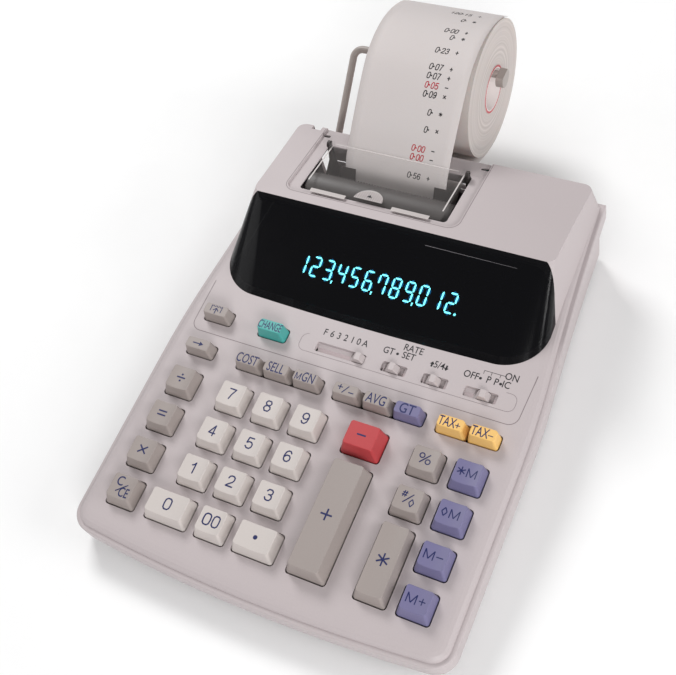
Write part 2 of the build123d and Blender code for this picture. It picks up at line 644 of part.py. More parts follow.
with BuildPart() as printer_cover:
    with BuildSketch(TOP):
        bar(-37.3, 37.3, WINDOW_FRONT + 0.4, -16.2, 1.5)
    extrude(amount=-1.5)
    with BuildSketch(TOP):
        for left, right in TABS:
            bar(left, right, WINDOW_FRONT - TAB_REACH, WINDOW_FRONT + 3, 0.8)
    extrude(amount=-1.2)
    with BuildSketch(TOP):
        with Locations((-36.8, -28), (36.8, -28)):
            Rectangle(1.0, 28)
    extrude(amount=1.0)
    with BuildSketch(side_at(PRINTER_X - 34.8)):
        with BuildLine():
            Polyline((228.0, 14.4), (229.7, 13.6), (232.8, 16.7), (232.2, 17.2), close=True)
        make_face()
    extrude(amount=69.6)
    with BuildSketch(side_at(PRINTER_X - 37.3)):
        with BuildLine():
            Polyline((226.0, 14.8), (229.0, 13.4), (234.6, 13.8), (234.6, 16.6), (231.0, 16.9),
                     close=True)
        make_face()
    extrude(amount=1.6)
    with BuildSketch(side_at(PRINTER_X + 35.7)):
        with BuildLine():
            Polyline((226.0, 14.8), (229.0, 13.4), (234.6, 13.8), (234.6, 16.6), (231.0, 16.9),
                     close=True)
        make_face()
    extrude(amount=1.6)
    disc(HINGE, 1.0, PRINTER_X - PLATE_GAP - PLATE_THICKNESS, PLATE_THICKNESS + 1.2)
    disc(HINGE, 1.0, PRINTER_X + PLATE_GAP - 1.2, PLATE_THICKNESS + 1.2)
    with BuildSketch(TOP):
        with BuildLine():
            grip = ThreePointArc((-9.1, -45.6), (-1.5, -38.6), (6.1, -45.6))
            Line(grip @ 1, grip @ 0)
        make_face()
    extrude(amount=0.9)
printer_cover.part.label = "printer_cover"
export_step(printer_cover.part, "parts/printer_cover.step")

with BuildPart() as transformer:
    with BuildSketch(DECK.offset(-30)):
        bar(53, 73.5, 186, 232, 1)
    extrude(amount=28)
    with BuildSketch(DECK.offset(-44)):
        bar(49.5, 74, 196, 222, 3)
    extrude(amount=38)
    split(bisect_by=Plane.XY.offset(FOOT_HEIGHT + FLOOR), keep=Keep.TOP)
transformer.part.label = "transformer"
export_step(transformer.part, "parts/transformer.step")

# ---------------------------------------------------------------- paper and its holder
with BuildPart() as paper_roll:
    disc(ROLL_CENTRE, ROLL_RADIUS, PRINTER_X - PAPER_WIDTH / 2, PAPER_WIDTH)
    with BuildSketch(side_at(PRINTER_X - PAPER_WIDTH / 2)):
        with Locations(ROLL_CENTRE):
            Circle(CORE_OUTER)
    extrude(amount=PAPER_WIDTH, mode=Mode.SUBTRACT)
paper_roll.part.label = "paper_roll"
export_step(paper_roll.part, "parts/paper_roll.step")

with BuildPart() as paper_core:
    with BuildSketch(side_at(PRINTER_X - PAPER_WIDTH / 2 - 0.3)):
        with Locations(ROLL_CENTRE):
            Circle(CORE_OUTER)
            Circle(CORE_INNER, mode=Mode.SUBTRACT)
    extrude(amount=PAPER_WIDTH + 0.6)
paper_core.part.label = "paper_core"
export_step(paper_core.part, "parts/paper_core.step")

PAPER_PATH = [
    (279.8, -27.3), (262.0, -18.8), (245.9, -11.6), (236.0, -13.6), (228.0, -17.6), (222.0, -17.2),
    (218.6, -12.2), (220.2, -5.0), (227.7, 8.0), (233.5, 15.6), (245.5, 25.0), (264.2, 38.6),
    (276.0, 44.6), (290.2, 46.4), (304.0, 43.6), (316.8, 37.1), (324.0, 30.9),
]
with BuildPart() as paper_tape:
    with BuildLine(side_at(PRINTER_X)):
        paper = Spline(*PAPER_PATH)
    with BuildSketch(Plane(origin=paper @ 0, x_dir=(1, 0, 0), z_dir=paper % 0)):
        Rectangle(PAPER_WIDTH, PAPER_THICKNESS)
    sweep(path=paper)
paper_tape.part.label = "paper_tape"
export_step(paper_tape.part, "parts/paper_tape.step")

with BuildPart() as roll_holder:
    with BuildLine() as wire:
        low = DECK.from_local_coords((ARM_X, *ARM_PIVOT))
        bend = DECK.from_local_coords((ARM_X, *ARM_SPINDLE))
        end = DECK.from_local_coords((ARM_HEAD_X, *ARM_SPINDLE))
        FilletPolyline(low, bend, end, radius=5)
    with BuildSketch(Plane(origin=wire.line @ 0, z_dir=wire.line % 0)):
        Circle(ARM_RADIUS)
    sweep(path=wire.line)
    disc(ARM_PIVOT, ARM_RADIUS, ARM_X - LUG_GAP - LUG_THICKNESS - 0.5, 2 * (LUG_GAP + LUG_THICKNESS) + 1)
    with BuildSketch(side_at(ARM_HEAD_X - 0.1)):
        with Locations((ARM_SPINDLE[0], ARM_SPINDLE[1] - 2)):
            Circle(5)
            with Locations((0, 5)):
                Rectangle(12, 3, mode=Mode.SUBTRACT)
    extrude(amount=4)
roll_holder.part.label = "roll_holder"
export_step(roll_holder.part, "parts/roll_holder.step")
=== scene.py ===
import bisect
import json
import math

import bpy
from mathutils import Matrix, Vector


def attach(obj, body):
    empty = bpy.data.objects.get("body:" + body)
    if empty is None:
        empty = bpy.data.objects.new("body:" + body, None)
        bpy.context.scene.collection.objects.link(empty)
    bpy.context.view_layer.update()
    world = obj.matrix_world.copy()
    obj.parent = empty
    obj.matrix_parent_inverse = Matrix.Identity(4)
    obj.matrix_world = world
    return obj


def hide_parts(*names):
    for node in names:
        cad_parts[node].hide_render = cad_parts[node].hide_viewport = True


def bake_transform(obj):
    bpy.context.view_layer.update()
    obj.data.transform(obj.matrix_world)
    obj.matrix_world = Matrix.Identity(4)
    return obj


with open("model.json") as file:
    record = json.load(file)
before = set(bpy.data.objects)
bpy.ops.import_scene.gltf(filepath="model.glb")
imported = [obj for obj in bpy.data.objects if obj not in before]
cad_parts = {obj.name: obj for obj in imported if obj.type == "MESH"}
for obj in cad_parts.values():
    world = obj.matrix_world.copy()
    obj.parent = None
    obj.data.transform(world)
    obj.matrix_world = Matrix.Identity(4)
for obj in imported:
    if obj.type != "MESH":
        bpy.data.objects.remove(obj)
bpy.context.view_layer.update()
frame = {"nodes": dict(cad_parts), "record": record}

# ---------------------------------------------------------------- the deck's axes
TILT = math.radians(6.5)
FRONT_Y, FRONT_Z = -0.16511, 0.020      # the deck's front edge in the row frame, in metres
PRINTER_X = -18.0                       # the printer's middle, in deck millimetres, as are the next two
ROLL_Y, ROLL_Z = 295.7, 6.3             # the paper roll's axis
SKIN = 0.03                             # how far print stands above its surface


def deck(x, y, z=0.0):
    """A point given in millimetres in the keyboard deck's axes, in the row frame."""
    x, y, z = x / 1000, y / 1000, z / 1000
    c, s = math.cos(TILT), math.sin(TILT)
    return Vector((x, FRONT_Y + y * c - z * s, FRONT_Z + y * s + z * c))


# ---------------------------------------------------------------- materials
def rgb(r, g, b):
    """Linear colour from 0 to 255 display values."""
    def linear(value):
        value /= 255
        return value / 12.92 if value <= 0.04045 else ((value + 0.055) / 1.055) ** 2.4
    return (linear(r), linear(g), linear(b), 1.0)


def material(name, colour, rough, grain, bump, vary, **extra):
    """Procedural plastic, rubber or metal: speckled colour, uneven gloss and a fine grain."""
    cloud_scale = 28.0
    gloss_spread = 0.05
    grain_height = 0.0002
    made = bpy.data.materials.new(name)
    made.use_nodes = True
    tree = made.node_tree
    shader = tree.nodes["Principled BSDF"]
    coord = tree.nodes.new("ShaderNodeTexCoord")
    fine = tree.nodes.new("ShaderNodeTexNoise")
    fine.inputs["Scale"].default_value = grain
    fine.inputs["Detail"].default_value = 3.0
    wide = tree.nodes.new("ShaderNodeTexNoise")
    wide.inputs["Scale"].default_value = cloud_scale
    wide.inputs["Detail"].default_value = 4.0
    mix = tree.nodes.new("ShaderNodeMix")
    mix.data_type = "RGBA"
    mix.inputs["A"].default_value = [c * (1 - vary) for c in colour[:3]] + [1.0]
    mix.inputs["B"].default_value = [min(1.0, c * (1 + vary)) for c in colour[:3]] + [1.0]
    ramp = tree.nodes.new("ShaderNodeMapRange")
    ramp.inputs["From Min"].default_value = 0.3
    ramp.inputs["From Max"].default_value = 0.7
    ramp.inputs["To Min"].default_value = max(0.02, rough - gloss_spread)
    ramp.inputs["To Max"].default_value = rough + gloss_spread
    bumper = tree.nodes.new("ShaderNodeBump")
    bumper.inputs["Strength"].default_value = bump
    bumper.inputs["Distance"].default_value = grain_height
    for noise in (fine, wide):
        tree.links.new(coord.outputs["Object"], noise.inputs["Vector"])
    tree.links.new(fine.outputs["Fac"], mix.inputs["Factor"])
    tree.links.new(mix.outputs["Result"], shader.inputs["Base Color"])
    tree.links.new(wide.outputs["Fac"], ramp.inputs["Value"])
    tree.links.new(ramp.outputs["Result"], shader.inputs["Roughness"])
    tree.links.new(fine.outputs["Fac"], bumper.inputs["Height"])
    tree.links.new(bumper.outputs["Normal"], shader.inputs["Normal"])
    for key, value in extra.items():
        shader.inputs[key.replace("_", " ")].default_value = value
    return made


def moulded(name, colour, rough):
    """Plastic of a key or a knob."""
    return material(name, colour, rough, 1200, 0.05, 0.03)


CASE = material("case", rgb(186, 176, 177), 0.5, 1400, 0.10, 0.03)
IVORY = moulded("ivory", rgb(200, 192, 188), 0.42)
TAUPE = moulded("taupe", rgb(156, 146, 142), 0.45)
VIOLET = moulded("violet", rgb(114, 110, 146), 0.45)
RED = moulded("red", rgb(182, 60, 64), 0.42)
TEAL = moulded("teal", rgb(72, 166, 160), 0.42)
AMBER = moulded("amber", rgb(236, 190, 112), 0.42)
KNOB = moulded("knob", rgb(190, 180, 180), 0.4)
DARK = material("dark", rgb(54, 49, 48), 0.42, 700, 0.12, 0.08, Specular_IOR_Level=0.35)
# The core's white, glowing faintly: painted light that lifts the shade inside the hollow core.
CORE_WHITE_PAINTED_GLOW = material("core_white_painted_glow", rgb(214, 206, 204), 0.5, 900, 0.05, 0.03,
                      Emission_Color=rgb(214, 206, 204), Emission_Strength=0.2)
RUBBER = material("rubber", rgb(30, 29, 28), 0.7, 500, 0.3, 0.15)
METAL = material("metal", rgb(150, 148, 145), 0.3, 600, 0.08, 0.06, Metallic=1.0)
IRON = material("iron", rgb(60, 58, 56), 0.45, 500, 0.2, 0.12)
BOARD = material("board", rgb(22, 60, 38), 0.35, 300, 0.2, 0.2)
MAT = material("mat", rgb(40, 39, 38), 0.65, 500, 0.15, 0.1)
HOLDER = material("holder", rgb(160, 150, 145), 0.4, 900, 0.05, 0.03)
CORE = material("core", rgb(182, 28, 44), 0.4, 800, 0.05, 0.05)
INK = material("legend", rgb(10, 24, 84), 0.5, 2000, 0.02, 0.08)
BLACK = material("print", rgb(14, 12, 18), 0.6, 2000, 0.02, 0.1)
REDINK = material("red_print", rgb(178, 24, 44), 0.6, 2000, 0.02, 0.1)
# Darker line colour: painted shade for grooves, recess edges and the gaps between the grip's ribs.
PAINTED_SHADE = material("groove", rgb(128, 116, 118), 0.6, 900, 0.05, 0.05)
LENS = material("lens", rgb(3, 3, 6), 0.16, 300, 0.004, 0.03, Alpha=0.9, Specular_IOR_Level=0.22)
CLEAR = material("clear", rgb(200, 194, 192), 0.12, 500, 0.01, 0.02, Alpha=0.045, Specular_IOR_Level=0.3)
# A painted highlight, for the bright line along the window's bevel.
PAINTED_HIGHLIGHT = material("painted_highlight", rgb(150, 146, 150), 0.3, 500, 0.02, 0.04, Alpha=0.6)
EDGE = material("clear_edge", rgb(226, 220, 218), 0.25, 500, 0.02, 0.04, Alpha=0.75)
FROST = material("frost", rgb(205, 197, 195), 0.35, 800, 0.1, 0.03, Alpha=0.8)
# Case colour for the switch trays, glowing faintly: painted light that lifts the shade down in the slots.
LINER_PAINTED_LIGHT = material("liner_painted_light", rgb(186, 176, 177), 0.6, 900, 0.1, 0.04,
                 Emission_Color=rgb(186, 176, 177), Emission_Strength=0.5)
TUBE = material("tube", rgb(8, 14, 16), 0.15, 500, 0.02, 0.1)
PAPER = material("paper", rgb(205, 197, 195), 0.75, 1500, 0.18, 0.02, Subsurface_Weight=0.05)
GLOW = material("glow", rgb(60, 235, 235), 0.5, 900, 0.0, 0.04,
                Emission_Color=rgb(120, 238, 250), Emission_Strength=190.0)
# Painted glow: dim wide copies of the figures, for the light that spreads round them.
PAINTED_HALO = material("painted_halo", rgb(10, 40, 60), 0.5, 900, 0.0, 0.04,
                Emission_Color=rgb(20, 110, 165), Emission_Strength=60.0)
FLOOR = material("floor", (0.92, 0.92, 0.92, 1), 0.8, 60, 0.02, 0.01)


def wound_paper():
    """Paper edge-on: the paper material with fine rings round the roll's axis for its colour."""
    made = PAPER.copy()
    made.name = "wound_paper"
    tree = made.node_tree
    shader = tree.nodes["Principled BSDF"]
    coord = next(n for n in tree.nodes if n.type == "TEX_COORD")
    offset = tree.nodes.new("ShaderNodeVectorMath")
    offset.operation = "SUBTRACT"
    offset.inputs[1].default_value = deck(0, ROLL_Y, ROLL_Z)
    across = tree.nodes.new("ShaderNodeVectorMath")
    across.operation = "MULTIPLY"
    across.inputs[1].default_value = (0, 1, 1)
    radius = tree.nodes.new("ShaderNodeVectorMath")
    radius.operation = "LENGTH"
    rings = tree.nodes.new("ShaderNodeTexNoise")
    rings.noise_dimensions = "1D"
    rings.inputs["Scale"].default_value = 700.0
    rings.inputs["Detail"].default_value = 6.0
    mix = tree.nodes.new("ShaderNodeMix")
    mix.data_type = "RGBA"
    mix.inputs["A"].default_value = rgb(172, 162, 158)
    mix.inputs["B"].default_value = rgb(214, 206, 202)
    tree.links.new(coord.outputs["Object"], offset.inputs[0])
    tree.links.new(offset.outputs[0], across.inputs[0])
    tree.links.new(across.outputs[0], radius.inputs[0])
    tree.links.new(radius.outputs["Value"], rings.inputs["W"])
    tree.links.new(rings.outputs["Fac"], mix.inputs["Factor"])
    tree.links.new(mix.outputs["Result"], shader.inputs["Base Color"])
    return made


# ---------------------------------------------------------------- the CAD nodes and their finish
FINISH = {
    "upper_case": CASE, "lower_case": CASE, "display_window": LENS, "display_tube": TUBE,
    "circuit_board": BOARD, "key_mat": MAT, "printer_cover": CLEAR, "printer_frame": DARK,
    "ink_roller": RUBBER, "type_drum": METAL, "feed_roller": RUBBER, "printer_motor": METAL,
    "motor_pinion": METAL, "paper_roll": wound_paper(), "paper_core": CORE_WHITE_PAINTED_GLOW, "paper_tape": PAPER,
    "roll_holder": HOLDER, "transformer": IRON, "rubber_feet": RUBBER, "case_screws": METAL,
    "key_minus": RED, "key_change": TEAL, "key_tax_plus": AMBER, "key_tax_minus": AMBER,
}
FINISH |= {f"key_{name}": IVORY for name in (*range(10), "double_zero", "point")}
FINISH |= {f"key_{name}": VIOLET for name in ("grand_total", "memory_plus", "memory_minus",
                                              "memory_subtotal", "memory_total")}
BODY = {name: body for body, names in frame["record"]["behaviour"]["bodies"].items() for name in names}
for name, node in frame["nodes"].items():
    other = KNOB if name.endswith("_knob") else TAUPE
    node.data.materials.clear()
    node.data.materials.append(FINISH.get(name, other))


# ---------------------------------------------------------------- pieces made of points and faces
def new_mesh(name, verts, faces, mat):
    """Mesh object of one material, from points in the row frame."""
    mesh = bpy.data.meshes.new(name)
    mesh.from_pydata([tuple(v) for v in verts], [], faces)
    mesh.update()
    mesh.materials.append(mat)
    made = bpy.data.objects.new(name, mesh)
    bpy.context.scene.collection.objects.link(made)
    return made


def piece(name, verts, faces, mat, body):
    """Mesh of the given material that rides on a body."""
    made = new_mesh(name, verts, faces, mat)
    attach(made, body)


def facet(name, points, mat, body):
    """One flat face through the points."""
    piece(name, points, [tuple(range(len(points)))], mat, body)


def groove(name, points, width, place, lift):
    """Thin line of painted shade on the case along a run of points, which place turns into the row frame; it
    darkens grooves and edges.
    """
    verts, faces = [], []
    for i, (x, y) in enumerate(points):
        a, b = points[max(i - 1, 0)], points[min(i + 1, len(points) - 1)]
        d = Vector((b[0] - a[0], b[1] - a[1])).normalized()
        n = Vector((-d.y, d.x)) * width / 2
        verts += [place(x - n.x, y - n.y, lift), place(x + n.x, y + n.y, lift)]
        if i:
            k = 2 * i
            faces.append((k - 2, k, k + 1, k - 1))
    piece(name, verts, faces, PAINTED_SHADE, "case")


# ---------------------------------------------------------------- flat artwork
# A shape is a list of points in millimetres and a list of faces.
def shifted(shape, dx, dy, lean=0.0):
    """The shape moved, and leaned over to the right by lean for each unit of height."""
    return [(x + dx + lean * y, y + dy) for x, y in shape[0]], shape[1]


def join(*shapes):
    verts, faces = [], []
    for points, outlines in shapes:
        k = len(verts)
        verts += points
        faces += [tuple(i + k for i in outline) for outline in outlines]
    return verts, faces


def poly(*points):
    """One flat outline."""
    return list(points), [tuple(range(len(points)))]


def disc(x, y, r, n=18):
    return poly(*[(x + r * math.cos(i * math.tau / n), y + r * math.sin(i * math.tau / n))
                  for i in range(n)])


def ring(x, y, r, w, n=20):
    verts, faces = [], []
    for i in range(n):
        a = i * math.tau / n
        verts += [(x + (r + s) * math.cos(a), y + (r + s) * math.sin(a)) for s in (-w / 2, w / 2)]
        k = 2 * i
        faces.append((k, k + 1, (k + 3) % (2 * n), (k + 2) % (2 * n)))
    return verts, faces


def bars(*strokes, w):
    """Straight strokes of the given width."""
    verts, faces = [], []
    for (x0, y0), (x1, y1) in strokes:
        d = Vector((x1 - x0, y1 - y0))
        n = Vector((-d.y, d.x)).normalized() * w / 2
        k = len(verts)
        verts += [(x0 - n.x, y0 - n.y), (x1 - n.x, y1 - n.y), (x1 + n.x, y1 + n.y), (x0 + n.x, y0 + n.y)]
        faces.append((k, k + 1, k + 2, k + 3))
    return verts, faces


def dash(across, w):
    return bars(((-across, 0), (across, 0)), w=w)


def cross(across, up, w):
    return bars(((-across, 0), (across, 0)), ((0, -up), (0, up)), w=w)


def times(across, up, w):
    return bars(((-across, -up), (across, up)), ((-across, up), (across, -up)), w=w)


def star(x, r, w):
    return bars(*[((x - r * math.cos(a), -r * math.sin(a)), (x + r * math.cos(a), r * math.sin(a)))
                  for a in (math.pi / 2, math.pi / 6, -math.pi / 6)], w=w)


def diamond(x, r):
    half = r * 0.62
    return bars(((x - half, 0), (x, r)), ((x, r), (x + half, 0)), ((x + half, 0), (x, -r)),
                ((x, -r), (x - half, 0)), w=0.5)


def letter_m(x, h, across, w=0.48):
    """Capital M drawn with straight strokes."""
    left, right, foot, top = x - across / 2, x + across / 2, -h / 2, h / 2
    dip = foot + 0.3
    return bars(((left, foot), (left, top)), ((left, top), (x, dip)), ((x, dip), (right, top)),
                ((right, top), (right, foot)), w=w)


def glyphs(text, size, wide, weight=0.05):
    """Text in the built-in font, centred across, its baseline half a size down, capitals 1.33 sizes tall."""
    font_scale = 1.945
    curve = bpy.data.curves.new("text", "FONT")
    curve.body = text
    curve.size = size * font_scale
    curve.offset = weight
    curve.resolution_u = 4
    text_object = bpy.data.objects.new("text", curve)
    bpy.context.scene.collection.objects.link(text_object)
    bpy.context.view_layer.update()
    graph = bpy.context.evaluated_depsgraph_get()
    mesh = bpy.data.meshes.new_from_object(text_object.evaluated_get(graph))
    verts = [v.co.copy() for v in mesh.vertices]
    faces = [tuple(f.vertices) for f in mesh.polygons]
    bpy.data.objects.remove(text_object)
    bpy.data.curves.remove(curve)
    bpy.data.meshes.remove(mesh)
    middle = (min(v.x for v in verts) + max(v.x for v in verts)) / 2
    return [((v.x - middle) * wide, v.y - size / 2) for v in verts], faces


# Each figure's strokes in a unit box.
STROKES = {
    "0": [[(0.28, 0), (0.72, 0), (0.95, 0.15), (1, 0.5), (0.95, 0.85), (0.72, 1), (0.28, 1), (0.05, 0.85),
           (0, 0.5), (0.05, 0.15), (0.28, 0)]],
    "1": [[(0.12, 0.72), (0.35, 0.78), (0.58, 1), (0.58, 0)]],
    "2": [[(0.02, 0.74), (0.12, 0.93), (0.35, 1), (0.68, 1), (0.92, 0.88), (0.96, 0.66), (0.8, 0.46),
           (0.3, 0.22), (0, 0.02), (1, 0.02)]],
    "3": [[(0.05, 0.82), (0.25, 1), (0.7, 1), (0.92, 0.86), (0.9, 0.64), (0.66, 0.54), (0.4, 0.54)],
          [(0.66, 0.54), (0.92, 0.44), (0.98, 0.24), (0.8, 0.04), (0.5, 0), (0.2, 0.04), (0, 0.22)]],
    "4": [[(1, 0.24), (0, 0.24), (0.7, 1), (0.7, 0)]],
    "5": [[(0.92, 1), (0.16, 1), (0.06, 0.5), (0.4, 0.62), (0.75, 0.6), (0.98, 0.42), (0.95, 0.16),
           (0.7, 0), (0.3, 0), (0.02, 0.16)]],
    "6": [[(0.94, 0.82), (0.74, 0.99), (0.4, 1), (0.12, 0.82), (0.02, 0.45), (0.1, 0.14), (0.36, 0),
           (0.7, 0.01), (0.96, 0.18), (0.96, 0.42), (0.74, 0.58), (0.36, 0.58), (0.06, 0.38)]],
    "7": [[(0, 1), (1, 1), (0.55, 0.45), (0.36, 0)]],
    "8": [[(0.5, 0.54), (0.18, 0.62), (0.06, 0.8), (0.26, 1), (0.74, 1), (0.94, 0.8), (0.82, 0.62),
           (0.5, 0.54), (0.12, 0.44), (0, 0.24), (0.24, 0), (0.76, 0), (1, 0.24), (0.88, 0.44),
           (0.5, 0.54)]],
    "9": [[(0.06, 0.18), (0.26, 0.01), (0.6, 0), (0.88, 0.18), (0.98, 0.55), (0.9, 0.86), (0.64, 1),
           (0.3, 0.99), (0.04, 0.82), (0.04, 0.58), (0.26, 0.42), (0.64, 0.42), (0.94, 0.62)]],
}


def stroked(text, height, width, step, w, lean=0.0):
    """Line of figures drawn with strokes, centred across; a middle dot takes about half a step."""
    dot_step = 0.55
    shapes, x = [], 0.0
    for char in text:
        if char == "·":
            shapes.append(disc(x + w * 1.1 - (step - width) / 2, 0, w * 0.95, 10))
            x += step * dot_step
            continue
        for run in STROKES[char]:
            points = [(x + u * width + lean * v * height, (v - 0.5) * height) for u, v in run]
            shapes.append(bars(*zip(points, points[1:]), w=w))
            shapes += [disc(px, py, w / 2, 8) for px, py in points]
        x += step
    middle = (x - (step - width)) / 2
    return shifted(join(*shapes), -middle, 0)


# ---------------------------------------------------------------- legends on the keys
# Each form: height, slope of the sides, slope at the front and at the back, depth of the dish.
FORMS = {"dished": (6.4, 1.45, 2.3, 0.5, 0.8), "small": (7.0, 1.2, 0.8, 0.5, 0.0),
         "minus": (9.0, 2.2, 1.8, 0.8, 0.0), "plus": (8.6, 2.2, 1.9, 0.8, 0.3)}
GAP = 0.6                               # between the edge of a key's cell and the key
GRID_X, GRID_Y, PITCH = -54.2, 19.2, 20.0
DIGIT_KEY_WIDTH, DIGIT_KEY_DEPTH, SIDE_KEY_DEPTH = 16.5, 15.5, 14.6
LEFT, ADD, PERCENT, MEMORY = (-82.6, -66.4), (13.6, 33.7), (46.2, 62.4), (66.3, 82.4)
FUNCTION, UPPER = (102.7, 110.9), (122.8, 131.0)
FIGURE_HEIGHT, FIGURE_LINE = 5.2, 0.68


def row(i, depth=DIGIT_KEY_DEPTH):
    """Front and back of a row of the key grid."""
    return GRID_Y + PITCH * i, GRID_Y + PITCH * i + depth


def side_row(i):
    return row(i, SIDE_KEY_DEPTH)


def key_figures(text, width, step):
    return stroked(text, FIGURE_HEIGHT, width, step, FIGURE_LINE)


ARROW = join(bars(((-2.8, 0), (1.6, 0)), w=0.6), poly((0.9, -1.3), (3.1, 0), (0.9, 1.3)))
FEED = join(
    bars(((0, -2.3), (0, 0.8)), w=0.55),
    bars(((-1.5, -0.6), (0, 0.9)), ((1.5, -0.6), (0, 0.9)), w=0.5),
    bars(((-2.9, -1.2), (-2.9, 2.3)), ((2.9, -1.2), (2.9, 2.3)), w=0.42),
    bars(*[((-2.9 + 0.83 * i, 1.5 + 0.8 * (i % 2)), (-2.9 + 0.83 * (i + 1), 2.3 - 0.8 * (i % 2)))
           for i in range(7)], w=0.34),
)
SIGN = join(shifted(cross(1.3, 1.3, 0.52), -2.9, 0.7), bars(((-1.2, -2.0), (1.2, 2.0)), w=0.5),
            shifted(dash(1.3, 0.52), 3.2, -1.0))
CLEAR_ENTRY = join(shifted(glyphs("C", 3.4, 0.8), -2.2, 2.5), bars(((-2.6, -2.3), (2.4, 2.1)), w=0.5),
                   shifted(glyphs("CE", 3.4, 0.7), 1.9, -2.4))
NON_ADD = join(bars(((-3.5, 1.2), (-1.1, 1.2)), ((-3.3, 2.3), (-0.9, 2.3)), ((-3.0, 0.3), (-2.4, 3.2)),
                    ((-2.0, 0.3), (-1.4, 3.2)), w=0.46),
               bars(((-2.0, -2.3), (1.9, 2.5)), w=0.48), shifted(diamond(0, 1.8), 2.0, -1.6))
PERCENT_SIGN = join(bars(((-2.0, -2.3), (2.0, 2.3)), w=0.55),
                    ring(-1.7, 1.2, 1.1, 0.55), ring(1.7, -1.2, 1.1, 0.55))
EQUALS = bars(((-2.3, 1.0), (2.3, 1.0)), ((-2.3, -1.0), (2.3, -1.0)), w=0.72)
DIVIDE = join(dash(2.3, 0.7), disc(0, 1.7, 0.55), disc(0, -1.7, 0.55))
MARGIN = join(letter_m(-3.6, 3.6, 2.5, 0.4), shifted(glyphs("GN", 3.6, 0.64), 1.6, 0))
MEMORY_LETTER = letter_m(-2.2, 4.2, 4.0)
TAX = shifted(glyphs("TAX", 3.4, 0.62), -1.5, 0)
CAPS = [
    ("0", (-61.2, -37.8), row(0), "dished", key_figures("0", 3.5, 4.4)),
    ("double_zero", (GRID_X + 20, GRID_X + 36.5), row(0), "dished", key_figures("00", 3.4, 4.6)),
    ("point", (GRID_X + 40, GRID_X + 61.9), row(0), "dished", disc(0, 0, 1.05)),
    ("plus", ADD, (GRID_Y, 75.2), "plus", cross(2.8, 2.8, 0.8)),
    ("minus", ADD, row(3), "minus", dash(2.2, 0.8)),
    ("total", PERCENT, (GRID_Y, 55.75), "dished", star(0, 3.0, 0.7)),
    ("subtotal", PERCENT, side_row(2), "dished", NON_ADD),
    ("percent", PERCENT, side_row(3), "dished", PERCENT_SIGN),
    ("memory_plus", MEMORY, side_row(0), "dished",
     join(MEMORY_LETTER, shifted(cross(1.5, 1.5, 0.46), 2.6, 0))),
    ("memory_minus", MEMORY, side_row(1), "dished", join(MEMORY_LETTER, shifted(dash(1.6, 0.46), 2.6, 0))),
    ("memory_subtotal", MEMORY, side_row(2), "dished", join(diamond(-3.0, 1.9), letter_m(1.6, 4.2, 4.0))),
    ("memory_total", MEMORY, side_row(3), "dished", join(star(-2.8, 2.0, 0.5), letter_m(2.0, 4.2, 4.0))),
    ("clear", LEFT, row(0), "dished", CLEAR_ENTRY),
    ("multiply", LEFT, row(1), "dished", times(2.1, 1.9, 0.72)),
    ("equals", LEFT, row(2), "dished", EQUALS),
    ("divide", LEFT, row(3), "dished", DIVIDE),
    ("backspace", LEFT, FUNCTION, "small", ARROW),
    ("feed", LEFT, UPPER, "small", FEED),
    ("change", (-51.5, -35.3), UPPER, "small", glyphs("CHANGE", 3.1, 0.52)),
    ("cost", (-53.9, -38.6), FUNCTION, "small", glyphs("COST", 3.6, 0.64)),
    ("sell", (-38.6, -22.5), FUNCTION, "small", glyphs("SELL", 3.6, 0.66)),
    ("margin", (-22.5, -6.7), FUNCTION, "small", MARGIN),
    ("sign", (-1.3, 14.4), FUNCTION, "small", SIGN),
    ("average", (14.4, 30.1), FUNCTION, "small", glyphs("AVG", 3.6, 0.70)),
    ("grand_total", (30.1, 45.8), FUNCTION, "small", glyphs("GT", 3.6, 0.82)),
    ("tax_plus", (51.2, 66.8), FUNCTION, "small", join(TAX, shifted(cross(1.2, 1.2, 0.42), 3.6, 0))),
    ("tax_minus", (66.8, 82.4), FUNCTION, "small", join(TAX, shifted(dash(1.2, 0.42), 3.6, 0))),
]
for i in range(1, 10):
    left = GRID_X + PITCH * ((i - 1) % 3)
    CAPS.append((str(i), (left, left + DIGIT_KEY_WIDTH), row(1 + (i - 1) // 3), "dished",
                 key_figures(str(i), 3.3, 4.0)))

for key, (left, right), (front, back), form, art in CAPS:
    height, side, toe, heel, dish = FORMS[form]
    half = (right - left) / 2 - GAP - side
    middle_x = (left + right) / 2
    middle_y = (front + toe + back - heel) / 2
    heights = [v for u, v in art[0]]
    points, outlines = shifted(art, 0, -(min(heights) + max(heights)) / 2)
    verts = [deck(middle_x + u, middle_y + v, height - dish * max(0.0, 1 - (u / half) ** 2) + SKIN)
             for u, v in points]
    name = f"key_{key}"
    piece(f"{name}_legend", verts, outlines, INK, BODY[name])


# ---------------------------------------------------------------- legends on the deck, and lines of painted shade along its groove and outline
def deck_print(name, shape, x, y):
    piece(name, [deck(x + u, y + v, SKIN) for u, v in shape[0]], shape[1], BLACK, "case")


def corner(cx, cy, r, start, end):
    """Points of an arc between two angles in degrees."""
    steps = 7
    angles = [math.radians(start + (end - start) * i / steps) for i in range(steps + 1)]
    return [(cx + r * math.cos(a), cy + r * math.sin(a)) for a in angles]


